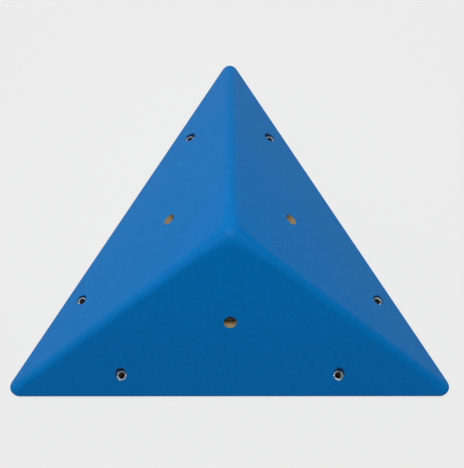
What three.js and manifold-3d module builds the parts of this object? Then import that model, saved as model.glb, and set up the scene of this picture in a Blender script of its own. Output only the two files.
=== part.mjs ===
// Climbing volume: a low three-sided plywood pyramid that is fixed flat on a climbing wall.
// Millimetres. +Z points away from the wall, and the open back lies on z = 0.
// The front face looks towards -Y. The right and left faces are the same face, turned about the axis.
// The origin is under the middle of the part's bounding box.
import * as THREE from "three";
import { ConvexGeometry } from "three/addons/geometries/ConvexGeometry.js";
import { mergeVertices } from "three/addons/utils/BufferGeometryUtils.js";
import Module from "manifold-3d";

const wasm = await Module();
wasm.setup();

// Outer form
const baseSide = 460; // side of the base triangle, to its sharp corners
const faceSlope = THREE.MathUtils.degToRad(44);
const edgeHeight = 3; // upright edge all round the base
const cornerRadius = 10; // base corners, in plan
const ridgeRadius = 10;
const apexRadius = 17;
const apexRunOut = 40; // from the axis to where the apex rounding has come down to the ridge radius

// Plywood and joints
const panelThickness = 12;
const glueGap = 0.3; // between pieces that are glued or seated on each other
const overrun = 5; // how far a cutter runs past the faces that it cuts

// Base rails, bevelled to fit behind the panels
const railHeight = 20;
const railInset = 50; // from the base edge to the rail's inner side

// Ridge battens, sawn with two sides parallel to each panel
const battenThickness = 24;
const battenTop = 34; // from the axis to the batten's upper end
const battenScrewShares = { nearFace: [0.18, 0.52], farFace: [0.35, 0.69] };

// Bores for hold bolts, square to the face
const holdBore = 12.5;
const holdRiseShare = 0.46; // of the way up the slope, from the base edge

// Pad behind each hold bore
const padSide = 52;
const padThickness = 12;
const padCorner = 8;
const padClearance = 2; // the pad is trimmed where it would come nearer to a batten or rail
const padScrewOffset = 19; // to either side of the bore

// Tee nut, pressed into the pad from behind
const barrelDiameter = 11.8;
const barrelLength = 11;
const threadBore = 8.6;
const threadChamfer = 0.8;
const flangeDiameter = 26;
const flangeFlats = 21.6; // across the four straight sides
const flangeThickness = 1.6;
const prongWidth = 5.5;
const prongLength = 7;

// Counterbores for wall screws, square to the wall
const counterbore = 12.5;
const fixingInset = 18.7; // from the base edge, in plan
const fixingSpacing = 218;
const seatDepth = 9.2; // below the face, on the bore's axis
const screwPassage = 6.8;
const washerOutside = 11.9;
const washerInside = 6.4;
const washerThickness = 1.6;

// Wood screws
const screwShank = 4;
const screwHead = 7.4;
const headDepth = 2.4;
const screwPoint = 4;
const headSink = 0.3;
const screwFit = 0.3; // clearance all round a screw in its hole
const railScrewLength = 35;
const railScrewSpacing = 70;
const battenScrewLength = 32;
const padScrewLength = 20;

// Facets in a full turn, or in one arc or patch
const boreFacets = 32;
const screwFacets = 12;
const cornerFacets = 12;
const ridgeFacets = 8;
const apexFacets = 6;

const faceCount = 3;
const thirdTurn = (2 * Math.PI) / faceCount;
const halfCorner = Math.PI / 2 - thirdTurn / 2; // half the base triangle's corner angle
const inradius = (baseSide / 2) * Math.tan(halfCorner);
const circumradius = inradius / Math.sin(halfCorner);
const holdRise = (holdRiseShare * inradius) / Math.cos(faceSlope);
const faceDistance = inradius * Math.sin(faceSlope) + edgeHeight * Math.cos(faceSlope);
const apexHeight = faceDistance / Math.cos(faceSlope);
const boxMiddle = (circumradius - cornerRadius - inradius) / 2;

const alongY = new THREE.Vector3(0, 1, 0);
const alongZ = new THREE.Vector3(0, 0, 1);
const frontNormal = new THREE.Vector3(0, -Math.sin(faceSlope), Math.cos(faceSlope));
const rightNormal = frontNormal.clone().applyAxisAngle(alongZ, thirdTurn);
const leftNormal = frontNormal.clone().applyAxisAngle(alongZ, -thirdTurn);

// The ridge between the front and right faces runs out over the right corner.
const ridgeOutward = new THREE.Vector3(Math.cos(halfCorner), -Math.sin(halfCorner), 0);
const ridgeUp = frontNormal.clone().add(rightNormal).normalize();
const ridgeAcross = new THREE.Vector3().crossVectors(alongZ, ridgeOutward);
const ridgeDown = new THREE.Vector3().crossVectors(ridgeAcross, ridgeUp);
const ridgeHalfFold = frontNormal.angleTo(rightNormal) / 2;

// The face frame stands on the middle of the front face's base edge: X along it, Y up the slope, Z out.
const faceFrame = new THREE.Matrix4()
  .makeRotationX(faceSlope)
  .setPosition(0, -inradius, edgeHeight);

// Distance from the axis to a plane parallel to a face, depth below it, at a height.
function insideReach(depth, height) {
  return (faceDistance - depth - height * Math.cos(faceSlope)) / Math.sin(faceSlope);
}

// The point in the right ridge's upright plane that lies depth below both faces.
function ridgePoint(depth, reach) {
  const height = (faceDistance - depth - reach * ridgeOutward.dot(frontNormal)) / Math.cos(faceSlope);
  return ridgeOutward.clone().multiplyScalar(reach).setZ(height);
}

function solidOf(geometry) {
  const bare = geometry.clone();
  bare.deleteAttribute("normal");
  bare.deleteAttribute("uv");
  const merged = mergeVertices(bare);
  return new wasm.Manifold(
    new wasm.Mesh({
      numProp: 3,
      vertProperties: merged.attributes.position.array,
      triVerts: new Uint32Array(merged.index.array),
    }),
  );
}

function geometryOf(solid) {
  const mesh = solid.getMesh();
  const geometry = new THREE.BufferGeometry();
  geometry.setAttribute("position", new THREE.BufferAttribute(mesh.vertProperties, mesh.numProp));
  geometry.setIndex(new THREE.BufferAttribute(mesh.triVerts, 1));
  return geometry;
}

function cutFrom(geometry, cutters) {
  return geometryOf(cutters.reduce((left, cutter) => left.subtract(solidOf(cutter)), solidOf(geometry)));
}

function keepWithin(geometry, limits) {
  return geometryOf(limits.reduce((left, limit) => left.intersect(solidOf(limit)), solidOf(geometry)));
}

function joined(geometries) {
  const [first, ...rest] = geometries.map(solidOf);
  return geometryOf(rest.reduce((whole, piece) => whole.add(piece), first));
}

// A geometry that points along Y, moved to a place and turned to a direction.
function aimed(geometry, place) {
  const turn = new THREE.Quaternion().setFromUnitVectors(alongY, place.towards);
  return geometry.clone().applyQuaternion(turn).translate(place.at.x, place.at.y, place.at.z);
}

function turnedPlace(place, angle) {
  return {
    at: place.at.clone().applyAxisAngle(alongZ, angle),
    towards: place.towards.clone().applyAxisAngle(alongZ, angle),
  };
}

// The directions on the great circle from one unit vector to another.
function directionsBetween(from, to, steps) {
  const whole = new THREE.Quaternion().setFromUnitVectors(from, to);
  return Array.from({ length: steps + 1 }, (_, i) =>
    from.clone().applyQuaternion(new THREE.Quaternion().slerp(whole, i / steps)),
  );
}

// The directions on the patch of a ball that lies between the three face normals.
function apexDirections() {
  const directions = [];
  for (let i = 0; i <= apexFacets; i++) {
    for (let j = 0; j <= apexFacets - i; j++) {
      directions.push(
        new THREE.Vector3()
          .addScaledVector(frontNormal, i)
          .addScaledVector(rightNormal, j)
          .addScaledVector(leftNormal, apexFacets - i - j)
          .normalize(),
      );
    }
  }
  return directions;
}

// The rounded ridges and apex are the hull of balls that touch the faces from inside.
function roundedPyramid() {
  const apexBall = ridgePoint(apexRadius, 0);
  const points = apexDirections().map((direction) => direction.multiplyScalar(apexRadius).add(apexBall));
  for (let ridge = 0; ridge < faceCount; ridge++) {
    for (const reach of [apexRunOut, circumradius + cornerRadius]) {
      const ball = ridgePoint(ridgeRadius, reach);
      for (const direction of directionsBetween(frontNormal, rightNormal, ridgeFacets)) {
        const point = direction.multiplyScalar(ridgeRadius).add(ball);
        points.push(point.applyAxisAngle(alongZ, ridge * thirdTurn));
      }
    }
  }
  return new ConvexGeometry(points);
}

function basePrism() {
  const outline = new THREE.Shape();
  const arcReach = circumradius - cornerRadius / Math.sin(halfCorner);
  for (let corner = 0; corner < faceCount; corner++) {
    const middle = corner * thirdTurn - halfCorner;
    const [x, y] = [arcReach * Math.cos(middle), arcReach * Math.sin(middle)];
    outline.absarc(x, y, cornerRadius, middle - thirdTurn / 2, middle + thirdTurn / 2);
  }
  return new THREE.ExtrudeGeometry(outline, {
    depth: apexHeight,
    bevelEnabled: false,
    curveSegments: cornerFacets,
  });
}

function innerPyramid() {
  const cornerReach = insideReach(panelThickness, -overrun) / Math.sin(halfCorner);
  const points = [ridgePoint(panelThickness, 0)];
  for (let corner = 0; corner < faceCount; corner++) {
    const point = ridgeOutward.clone().multiplyScalar(cornerReach).setZ(-overrun);
    points.push(point.applyAxisAngle(alongZ, corner * thirdTurn));
  }
  return new ConvexGeometry(points);
}

// The third of the plan that belongs to the front face, less half a glue gap at each mitre.
function frontThird() {
  const tip = glueGap / 2 / Math.sin(thirdTurn / 2);
  const across = baseSide * Math.sin(thirdTurn / 2);
  const down = baseSide * Math.cos(thirdTurn / 2);
  const outline = new THREE.Shape();
  outline.moveTo(0, -tip);
  outline.lineTo(-across, -tip - down);
  outline.lineTo(across, -tip - down);
  outline.closePath();
  return new THREE.ExtrudeGeometry(outline, { depth: apexHeight, bevelEnabled: false });
}

function turnedProfile(profile, facets) {
  return new THREE.LatheGeometry(
    profile.map(([radius, y]) => new THREE.Vector2(radius, y)),
    facets,
  );
}

// A countersunk wood screw along Y, with its head's top at the origin.
function screwGeometry(length) {
  const profile = [
    [0, 0],
    [screwHead / 2, 0],
    [screwShank / 2, headDepth],
    [screwShank / 2, length - screwPoint],
    [0, length],
  ];
  return turnedProfile(profile, screwFacets);
}

function screwHole(length, place) {
  const profile = [
    [0, -overrun],
    [screwHead / 2 + screwFit, -overrun],
    [screwHead / 2 + screwFit, 0],
    [screwShank / 2 + screwFit, headDepth],
    [screwShank / 2 + screwFit, length - screwPoint],
    [0, length + screwFit],
  ];
  return aimed(turnedProfile(profile, screwFacets), place);
}

// Rail screws run level, from the rail's inner side into the panel.
function railScrewPlaces() {
  return [-1, 0, 1].map((step) => ({
    at: new THREE.Vector3(step * railScrewSpacing, railInset - inradius - headSink, railHeight / 2),
    towards: alongY.clone().negate(),
  }));
}

// Pad screws stand square to the face, left and right of the bore.
function padScrewPlaces() {
  const back = -panelThickness - glueGap - padThickness + headSink;
  return [-1, 1].map((side) => ({
    at: new THREE.Vector3(side * padScrewOffset, holdRise, back).applyMatrix4(faceFrame),
    towards: frontNormal.clone(),
  }));
}

// Batten screws cross the right ridge's batten square to the panel that they hold.
function battenScrewPlaces(normal, shares) {
  const depth = panelThickness + glueGap + battenThickness / 2;
  const lastReach = insideReach(depth, railHeight) / Math.sin(halfCorner);
  const firstReach = battenTop;
  return shares.map((share) => ({
    at: ridgePoint(depth, THREE.MathUtils.lerp(firstReach, lastReach, share)).addScaledVector(
      normal,
      headSink - battenThickness / 2,
    ),
    towards: normal.clone(),
  }));
}

const nearScrewPlaces = battenScrewPlaces(frontNormal, battenScrewShares.nearFace);
const farScrewPlaces = battenScrewPlaces(rightNormal, battenScrewShares.farFace);

// A bore along the face's normal at the hold position.
function holdBoreCutter() {
  const length = panelThickness + padThickness + 2 * overrun;
  return new THREE.CylinderGeometry(holdBore / 2, holdBore / 2, length, boreFacets)
    .rotateX(Math.PI / 2)
    .translate(0, holdRise, overrun - length / 2)
    .applyMatrix4(faceFrame);
}

const fixingFaceHeight = edgeHeight + fixingInset * Math.tan(faceSlope);
const seatHeight = fixingFaceHeight - seatDepth;

// An upright cylinder on a wall screw's axis; side is -1 or 1.
function fixingCutter(side, diameter, bottom) {
  const top = apexHeight;
  return new THREE.CylinderGeometry(diameter / 2, diameter / 2, top - bottom, boreFacets)
    .rotateX(Math.PI / 2)
    .translate((side * fixingSpacing) / 2, fixingInset - inradius, (top + bottom) / 2);
}

function panelGeometry() {
  const farHoles = farScrewPlaces.map((place) => turnedPlace(place, -thirdTurn));
  const cutters = [
    innerPyramid(),
    holdBoreCutter(),
    ...[-1, 1].map((side) => fixingCutter(side, counterbore, seatHeight)),
    ...[-1, 1].map((side) => fixingCutter(side, screwPassage, -overrun)),
    ...railScrewPlaces().map((place) => screwHole(railScrewLength, place)),
    ...padScrewPlaces().map((place) => screwHole(padScrewLength, place)),
    ...[...nearScrewPlaces, ...farHoles].map((place) => screwHole(battenScrewLength, place)),
  ];
  return cutFrom(keepWithin(roundedPyramid(), [basePrism(), frontThird()]), cutters);
}

// The rail's section, as distances in from the base edge and heights; spare thickens it all round.
function railBar(spare = 0) {
  const behindPanel = panelThickness + glueGap - spare;
  const top = railHeight + spare;
  const outline = new THREE.Shape();
  outline.moveTo(inradius - insideReach(behindPanel, 0), 0);
  outline.lineTo(railInset + spare, 0);
  outline.lineTo(railInset + spare, top);
  outline.lineTo(inradius - insideReach(behindPanel, top), top);
  outline.closePath();
  const inward = new THREE.Matrix4().makeBasis(alongY, alongZ, new THREE.Vector3(1, 0, 0));
  return new THREE.ExtrudeGeometry(outline, { depth: baseSide, bevelEnabled: false })
    .applyMatrix4(inward)
    .translate(-baseSide / 2, -inradius, 0);
}

function railGeometry() {
  return cutFrom(keepWithin(railBar(), [frontThird()]), [
    ...[-1, 1].map((side) => fixingCutter(side, screwPassage, -overrun)),
    ...railScrewPlaces().map((place) => screwHole(railScrewLength, place)),
  ]);
}

// The batten's section is a rhombus whose upper corner lies in the fold behind the two panels.
// Spare thickens it all round.
function battenBar(spare = 0) {
  const side = (battenThickness + 2 * spare) / Math.sin(2 * ridgeHalfFold);
  const halfWidth = side * Math.cos(ridgeHalfFold);
  const halfHeight = side * Math.sin(ridgeHalfFold);
  const outline = new THREE.Shape();
  outline.moveTo(0, 0);
  outline.lineTo(-halfWidth, -halfHeight);
  outline.lineTo(0, -2 * halfHeight);
  outline.lineTo(halfWidth, -halfHeight);
  outline.closePath();
  const along = new THREE.Matrix4()
    .makeBasis(ridgeAcross, ridgeUp, ridgeDown)
    .setPosition(ridgePoint(panelThickness + glueGap - spare, battenTop - spare));
  const bar = new THREE.ExtrudeGeometry(outline, { depth: circumradius, bevelEnabled: false });
  return bar.applyMatrix4(along);
}

function battenGeometry() {
  const aboveRails = new THREE.BoxGeometry(2 * baseSide, 2 * baseSide, apexHeight);
  aboveRails.translate(0, 0, railHeight + glueGap + apexHeight / 2);
  return cutFrom(
    keepWithin(battenBar(), [aboveRails]),
    [...nearScrewPlaces, ...farScrewPlaces].map((place) => screwHole(battenScrewLength, place)),
  );
}

// One bent prong of the tee nut, standing on the inside of a flat; fit makes the slot for it.
function prongGeometry(quarter, fit = 0) {
  const outline = new THREE.Shape();
  outline.moveTo(-prongWidth / 2 - fit, 0);
  outline.lineTo(prongWidth / 2 + fit, 0);
  outline.lineTo(prongWidth / 2 + fit, flangeThickness);
  outline.lineTo(0, flangeThickness + prongLength + 2 * fit);
  outline.lineTo(-prongWidth / 2 - fit, flangeThickness);
  outline.closePath();
  return new THREE.ExtrudeGeometry(outline, { depth: flangeThickness + 2 * fit, bevelEnabled: false })
    .rotateX(Math.PI / 2)
    .translate(0, flangeFlats / 2 + fit, 0)
    .rotateZ((quarter * Math.PI) / 2);
}

// The tee nut stands on z = 0 with its flange below and its barrel pointing along +Z.
function teeNutGeometry() {
  const barrelTop = flangeThickness + barrelLength;
  const profile = [
    [threadBore / 2, 0],
    [flangeDiameter / 2, 0],
    [flangeDiameter / 2, flangeThickness],
    [barrelDiameter / 2, flangeThickness],
    [barrelDiameter / 2, barrelTop],
    [threadBore / 2 + threadChamfer, barrelTop],
    [threadBore / 2, barrelTop - threadChamfer],
    [threadBore / 2, 0],
  ];
  const turned = turnedProfile(profile, boreFacets).rotateX(Math.PI / 2);
  const square = new THREE.BoxGeometry(flangeFlats, flangeFlats, 2 * barrelTop + overrun);
  const prongs = [0, 1, 2, 3].map((quarter) => prongGeometry(quarter));
  return joined([keepWithin(turned, [square]), ...prongs]);
}

const teeNutDrop = -panelThickness - padThickness - 2 * glueGap - flangeThickness;

// The pad is cut in the face frame, with its back side down.
function padGeometry() {
  const half = padSide / 2;
  const arcAt = half - padCorner;
  const outline = new THREE.Shape();
  const quarters = [
    [arcAt, -arcAt],
    [arcAt, arcAt],
    [-arcAt, arcAt],
    [-arcAt, -arcAt],
  ];
  quarters.forEach(([x, y], i) => {
    outline.absarc(x, y, padCorner, ((i - 1) * Math.PI) / 2, (i * Math.PI) / 2);
  });
  const pad = new THREE.ExtrudeGeometry(outline, {
    depth: padThickness,
    bevelEnabled: false,
    curveSegments: ridgeFacets,
  })
    .translate(0, holdRise, -panelThickness - glueGap - padThickness)
    .applyMatrix4(faceFrame);
  const slots = [0, 1, 2, 3].map((quarter) =>
    prongGeometry(quarter, glueGap).translate(0, holdRise, teeNutDrop).applyMatrix4(faceFrame),
  );
  return cutFrom(pad, [
    holdBoreCutter(),
    ...slots,
    ...padScrewPlaces().map((place) => screwHole(padScrewLength, place)),
    railBar(padClearance),
    battenBar(padClearance),
    battenBar(padClearance).rotateZ(-thirdTurn),
  ]);
}

function washerGeometry() {
  const profile = [
    [washerInside / 2, 0],
    [washerOutside / 2, 0],
    [washerOutside / 2, washerThickness],
    [washerInside / 2, washerThickness],
    [washerInside / 2, 0],
  ];
  return turnedProfile(profile, boreFacets).rotateX(Math.PI / 2);
}

// Paint on the outside is a sanded climbing coat; all other wood is bare.
const paintedPly = () => new THREE.MeshStandardMaterial({ color: 0x2a6ca7, roughness: 0.75, metalness: 0 });
const bareWood = () => new THREE.MeshStandardMaterial({ color: 0xc9a777, roughness: 0.7, metalness: 0 });
const barePly = () => new THREE.MeshStandardMaterial({ color: 0xd2b48a, roughness: 0.7, metalness: 0 });
const zincSteel = () => new THREE.MeshStandardMaterial({ color: 0xb9beb5, roughness: 0.35, metalness: 1 });

function named(name, geometry, material) {
  const mesh = new THREE.Mesh(geometry, material);
  mesh.name = name;
  return mesh;
}

function screwMesh(name, geometry, place) {
  const mesh = named(name, geometry, zincSteel());
  mesh.position.copy(place.at);
  mesh.quaternion.setFromUnitVectors(alongY, place.towards);
  return mesh;
}

const faceNames = ["front", "right", "left"];
const shared = {
  panel: panelGeometry(),
  rail: railGeometry(),
  batten: battenGeometry(),
  pad: padGeometry(),
  teeNut: teeNutGeometry(),
  washer: washerGeometry(),
  railScrew: screwGeometry(railScrewLength),
  battenScrew: screwGeometry(battenScrewLength),
  padScrew: screwGeometry(padScrewLength),
};

function teeNutMesh(face) {
  const mesh = named(`tee_nut_${face}`, shared.teeNut, zincSteel());
  mesh.position.set(0, holdRise, teeNutDrop).applyMatrix4(faceFrame);
  mesh.quaternion.setFromRotationMatrix(faceFrame);
  return mesh;
}

function washerMesh(face, side) {
  const mesh = named(`fixing_washer_${face}_${side < 0 ? 1 : 2}`, shared.washer, zincSteel());
  mesh.position.set((side * fixingSpacing) / 2, fixingInset - inradius, seatHeight + glueGap);
  return mesh;
}

// Everything that belongs to one face.
function faceGroup(face) {
  const group = new THREE.Group();
  group.add(
    named(`panel_${face}`, shared.panel, paintedPly()),
    named(`base_rail_${face}`, shared.rail, bareWood()),
    named(`tee_nut_pad_${face}`, shared.pad, barePly()),
    teeNutMesh(face),
    ...[-1, 1].map((side) => washerMesh(face, side)),
    ...railScrewPlaces().map((place, i) => screwMesh(`rail_screw_${face}_${i + 1}`, shared.railScrew, place)),
    ...padScrewPlaces().map((place, i) => screwMesh(`pad_screw_${face}_${i + 1}`, shared.padScrew, place)),
  );
  return group;
}

// Everything on the ridge between a face and the next one round.
function ridgeGroup(face, nextFace) {
  const group = new THREE.Group();
  const edge = `${face}_${nextFace}`;
  const places = [...nearScrewPlaces, ...farScrewPlaces];
  group.add(
    named(`ridge_batten_${edge}`, shared.batten, bareWood()),
    ...places.map((place, i) => screwMesh(`batten_screw_${edge}_${i + 1}`, shared.battenScrew, place)),
  );
  return group;
}

const climbingVolume = new THREE.Group();
faceNames.forEach((face, i) => {
  const nextFace = faceNames[(i + 1) % faceCount];
  const third = new THREE.Group();
  third.add(faceGroup(face), ridgeGroup(face, nextFace));
  third.position.y = -boxMiddle;
  third.rotation.z = i * thirdTurn;
  climbingVolume.add(third);
});

export default climbingVolume;
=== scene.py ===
import math
import random

import bmesh
import bpy
from mathutils import Matrix, Vector, noise


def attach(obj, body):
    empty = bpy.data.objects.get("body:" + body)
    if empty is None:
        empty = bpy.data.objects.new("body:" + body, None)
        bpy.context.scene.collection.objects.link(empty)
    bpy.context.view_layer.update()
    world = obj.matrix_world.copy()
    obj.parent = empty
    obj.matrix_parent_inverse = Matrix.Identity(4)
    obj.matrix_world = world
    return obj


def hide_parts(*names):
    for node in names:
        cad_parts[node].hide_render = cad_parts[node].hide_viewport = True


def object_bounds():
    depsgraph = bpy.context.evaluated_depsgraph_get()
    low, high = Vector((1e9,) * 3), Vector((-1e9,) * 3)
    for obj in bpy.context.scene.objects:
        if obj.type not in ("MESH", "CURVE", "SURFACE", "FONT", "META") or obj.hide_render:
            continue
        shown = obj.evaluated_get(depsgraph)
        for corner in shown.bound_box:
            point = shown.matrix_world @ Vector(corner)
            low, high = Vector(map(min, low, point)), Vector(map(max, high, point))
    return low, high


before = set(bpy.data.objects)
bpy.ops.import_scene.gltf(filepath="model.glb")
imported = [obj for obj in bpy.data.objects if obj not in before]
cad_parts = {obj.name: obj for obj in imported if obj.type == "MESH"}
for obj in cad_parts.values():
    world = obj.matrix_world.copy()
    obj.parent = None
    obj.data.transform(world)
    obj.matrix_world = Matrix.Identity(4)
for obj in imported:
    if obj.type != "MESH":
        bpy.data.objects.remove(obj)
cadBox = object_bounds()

print("Frame loaded")

mm = 0.001
alongZ = Vector((0, 0, 1))
faceNames = ["front", "right", "left"]
thirdTurn = math.tau / len(faceNames)
random.seed(44)

# The volume's outer form, as the construction has it
volume = {
    "baseSide": 460 * mm,  # to the sharp corners
    "faceSlope": math.radians(44),
    "edgeHeight": 3 * mm,
    "cornerRadius": 10 * mm,
    "ridgeRadius": 10 * mm,
    "apexRadius": 17 * mm,
    "apexRunOut": 40 * mm,  # where the apex rounding has come down to the ridge radius
    "panelThickness": 12 * mm,
    "glueGap": 0.3 * mm,
}

slope = volume["faceSlope"]
halfCorner = math.radians(30)
inradius = volume["baseSide"] / 2 * math.tan(halfCorner)
circumradius = inradius / math.sin(halfCorner)
faceDistance = inradius * math.sin(slope) + volume["edgeHeight"] * math.cos(slope)
axisY = cadBox[0].y + inradius  # the pyramid's axis stands behind the middle of the box

frontNormal = Vector((0, -math.sin(slope), math.cos(slope)))
rightNormal = Matrix.Rotation(thirdTurn, 3, "Z") @ frontNormal
ridgeOutward = Vector((math.cos(halfCorner), -math.sin(halfCorner), 0))
ridgeAcross = alongZ.cross(ridgeOutward)
ridgeUp = (frontNormal + rightNormal).normalized()
ridgeDown = ridgeAcross.cross(ridgeUp)
halfFold = frontNormal.angle(rightNormal) / 2
ridgeFall = ridgeOutward.dot(frontNormal) / math.cos(slope)  # height lost for each length outward


def thirdMatrix(third):
    return Matrix.Translation((0, axisY, 0)) @ Matrix.Rotation(third * thirdTurn, 4, "Z")


# Stands on the middle of the front face's base edge: X along it, Y up the slope, Z out of the face
faceMatrix = Matrix.Translation((0, -inradius, volume["edgeHeight"])) @ Matrix.Rotation(slope, 4, "X")


def aimMatrix(at, towards, spin=0.0):
    turn = alongZ.rotation_difference(towards).to_matrix().to_4x4()
    return Matrix.Translation(at) @ turn @ Matrix.Rotation(spin, 4, "Z")


def blend(a, b, share):
    return a + (b - a) * share


def ridgeName(third):
    return f"{faceNames[third]}_{faceNames[(third + 1) % len(faceNames)]}"


# Materials

# Each wooden piece keeps, at every point, the point's place in the board it was cut from:
# X along the grain, Y across it, Z out of the board
grainPlace = "grainPlace"


def linear(hexColour):
    channels = [int(hexColour[i : i + 2], 16) / 255 for i in (1, 3, 5)]
    return [c / 12.92 if c <= 0.04045 else ((c + 0.055) / 1.055) ** 2.4 for c in channels] + [1.0]


def perMetre(sizeInMm):
    return 1 / (sizeInMm * mm)


def addNode(tree, kind, inputs=None, stops=None, **settings):
    node = tree.nodes.new(kind)
    for name, value in settings.items():
        setattr(node, name, value)
    for name, value in (inputs or {}).items():
        if isinstance(value, bpy.types.NodeSocket):
            tree.links.new(value, node.inputs[name])
        else:
            node.inputs[name].default_value = value
    if stops:
        for element, (place, hexColour) in zip(node.color_ramp.elements, stops):
            element.position = place
            element.color = linear(hexColour)
    return node


def newMaterial(name, **sockets):
    material = bpy.data.materials.new(name)
    material.use_nodes = True
    shader = material.node_tree.nodes["Principled BSDF"]
    for socket, value in sockets.items():
        shader.inputs[socket].default_value = value
    return material, material.node_tree, shader


def fibreNoise(tree, place, scale, detail, roughness=0.5):
    # Noise drawn out along one direction, as fibres and handling marks are
    stretched = addNode(tree, "ShaderNodeVectorMath", {0: place, 1: scale}, operation="MULTIPLY")
    inputs = {"Vector": stretched.outputs[0], "Scale": 1.0, "Detail": detail, "Roughness": roughness}
    return addNode(tree, "ShaderNodeTexNoise", inputs).outputs["Fac"]


paintLook = {
    "colour": "#0066a8",
    "thinCoat": "#005b9a",
    "grit": 0.55,  # mm from grain to grain of the sand in the paint
    "gritHeight": 0.24,  # mm
    "stipple": 2.6,  # mm, the pattern that the roller leaves
    "stippleHeight": 0.14,  # mm
    "cloud": 14,  # mm, thinner and thicker coat
    "cloudShare": 0.2,
    "roughness": 0.36,
    "shine": 0.055,  # the sand breaks most of the shine up
}


def sandedRollerPaint():
    # Blue paint with fine sand in it, rolled on: even and dry, with a faint wide shine
    material, tree, shader = newMaterial(
        "sandedBlueRollerPaint",
        **{"IOR": 1.5, "Roughness": paintLook["roughness"], "Specular IOR Level": paintLook["shine"]},
    )
    place = addNode(tree, "ShaderNodeTexCoord").outputs["Object"]
    # Sand this fine doesn't show from a step away, so its grains are drawn a little coarser
    grit = addNode(
        tree,
        "ShaderNodeTexNoise",
        {"Vector": place, "Scale": perMetre(paintLook["grit"]), "Detail": 2.0, "Roughness": 0.65},
    )
    stipple = addNode(
        tree,
        "ShaderNodeTexNoise",
        {"Vector": place, "Scale": perMetre(paintLook["stipple"]), "Detail": 3.0, "Roughness": 0.6},
    )
    cloud = addNode(
        tree,
        "ShaderNodeTexNoise",
        {"Vector": place, "Scale": perMetre(paintLook["cloud"]), "Detail": 2.0},
    )
    coat = addNode(
        tree,
        "ShaderNodeMath",
        {0: cloud.outputs["Fac"], 1: paintLook["cloudShare"], 2: stipple.outputs["Fac"]},
        operation="MULTIPLY_ADD",
    )
    shade = addNode(
        tree,
        "ShaderNodeValToRGB",
        {"Fac": coat.outputs[0]},
        stops=[(0.40, paintLook["thinCoat"]), (0.82, paintLook["colour"])],
    )
    tree.links.new(shade.outputs["Color"], shader.inputs["Base Color"])
    coarse = addNode(
        tree,
        "ShaderNodeBump",
        {"Height": stipple.outputs["Fac"], "Distance": paintLook["stippleHeight"] * mm, "Strength": 1.0},
    )
    fine = addNode(
        tree,
        "ShaderNodeBump",
        {
            "Height": grit.outputs["Fac"],
            "Distance": paintLook["gritHeight"] * mm,
            "Strength": 1.0,
            "Normal": coarse.outputs["Normal"],
        },
    )
    tree.links.new(fine.outputs["Normal"], shader.inputs["Normal"])
    return material


plyLook = {
    "ply": 1.4,  # mm, each veneer
    "sandedOff": 0.3,  # mm gone from the outermost ply
    "glueLine": 0.05,  # share of a ply
    # Both grain tones are darkened throughout: painted shade that stands in for the shade on the bore walls
    "longGrain": ("#86704f", "#ad9873"),
    "crossGrain": ("#725d3e", "#957f59"),
    "glue": "#5d3d22",
    "fibreLength": 70,  # mm
    "fibreWidth": 1.1,  # mm
    "grainDepth": 0.06,  # mm
    "roughness": 0.62,
}


def birchPlywood():
    # Sanded birch plywood: long grain on its faces, light and dark plies with thin glue lines on its edges.
    # All its tones are darker than birch's own, as painted shade for the bore walls
    material, tree, shader = newMaterial(
        "sandedBirchPlywood",
        **{"IOR": 1.52, "Roughness": plyLook["roughness"]},
    )
    place = addNode(tree, "ShaderNodeAttribute", attribute_name=grainPlace).outputs["Vector"]
    split = addNode(tree, "ShaderNodeSeparateXYZ", {"Vector": place})
    depth = addNode(
        tree,
        "ShaderNodeMath",
        {0: split.outputs["Z"], 1: -perMetre(plyLook["ply"]), 2: plyLook["sandedOff"] / plyLook["ply"]},
        operation="MULTIPLY_ADD",
    )
    count = addNode(tree, "ShaderNodeMath", {0: depth.outputs[0]}, operation="FLOOR")
    crossed = addNode(tree, "ShaderNodeMath", {0: count.outputs[0], 1: 2.0}, operation="FLOORED_MODULO")
    toGlue = addNode(tree, "ShaderNodeMath", {0: depth.outputs[0], 1: 0.5}, operation="PINGPONG")
    glueLine = addNode(
        tree,
        "ShaderNodeMath",
        {0: toGlue.outputs[0], 1: plyLook["glueLine"]},
        operation="LESS_THAN",
    )
    along, across = perMetre(plyLook["fibreLength"]), perMetre(plyLook["fibreWidth"])
    shades = []
    for scale, (dark, light) in [
        ((along, across, across), plyLook["longGrain"]),
        ((across, along, across), plyLook["crossGrain"]),
    ]:
        fibres = fibreNoise(tree, place, scale, 4.0, 0.62)
        stops = [(0.30, dark), (0.62, light)]
        shades.append(addNode(tree, "ShaderNodeValToRGB", {"Fac": fibres}, stops=stops).outputs["Color"])
    veneer = addNode(
        tree,
        "ShaderNodeMix",
        {0: crossed.outputs[0], 6: shades[0], 7: shades[1]},
        data_type="RGBA",
    )
    edged = addNode(
        tree,
        "ShaderNodeMix",
        {0: glueLine.outputs[0], 6: veneer.outputs[2], 7: linear(plyLook["glue"])},
        data_type="RGBA",
    )
    tree.links.new(edged.outputs[2], shader.inputs["Base Color"])
    grain = addNode(
        tree,
        "ShaderNodeBump",
        {"Height": veneer.outputs[2], "Distance": plyLook["grainDepth"] * mm, "Strength": 0.8},
    )
    tree.links.new(grain.outputs["Normal"], shader.inputs["Normal"])
    return material


pineLook = {
    "ring": 2.8,  # mm from one year's ring to the next
    "early": "#e0bd86",
    "late": "#a8713b",
    "fibreLength": 55,  # mm
    "fibreWidth": 0.7,  # mm
    "fibreShades": (0.82, 1.06),  # how much the fibres darken and lighten the rings
    "grainDepth": 0.05,  # mm
    "pith": 38,  # mm from the bar to the middle of the tree
    "roughness": 0.6,
}


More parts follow.
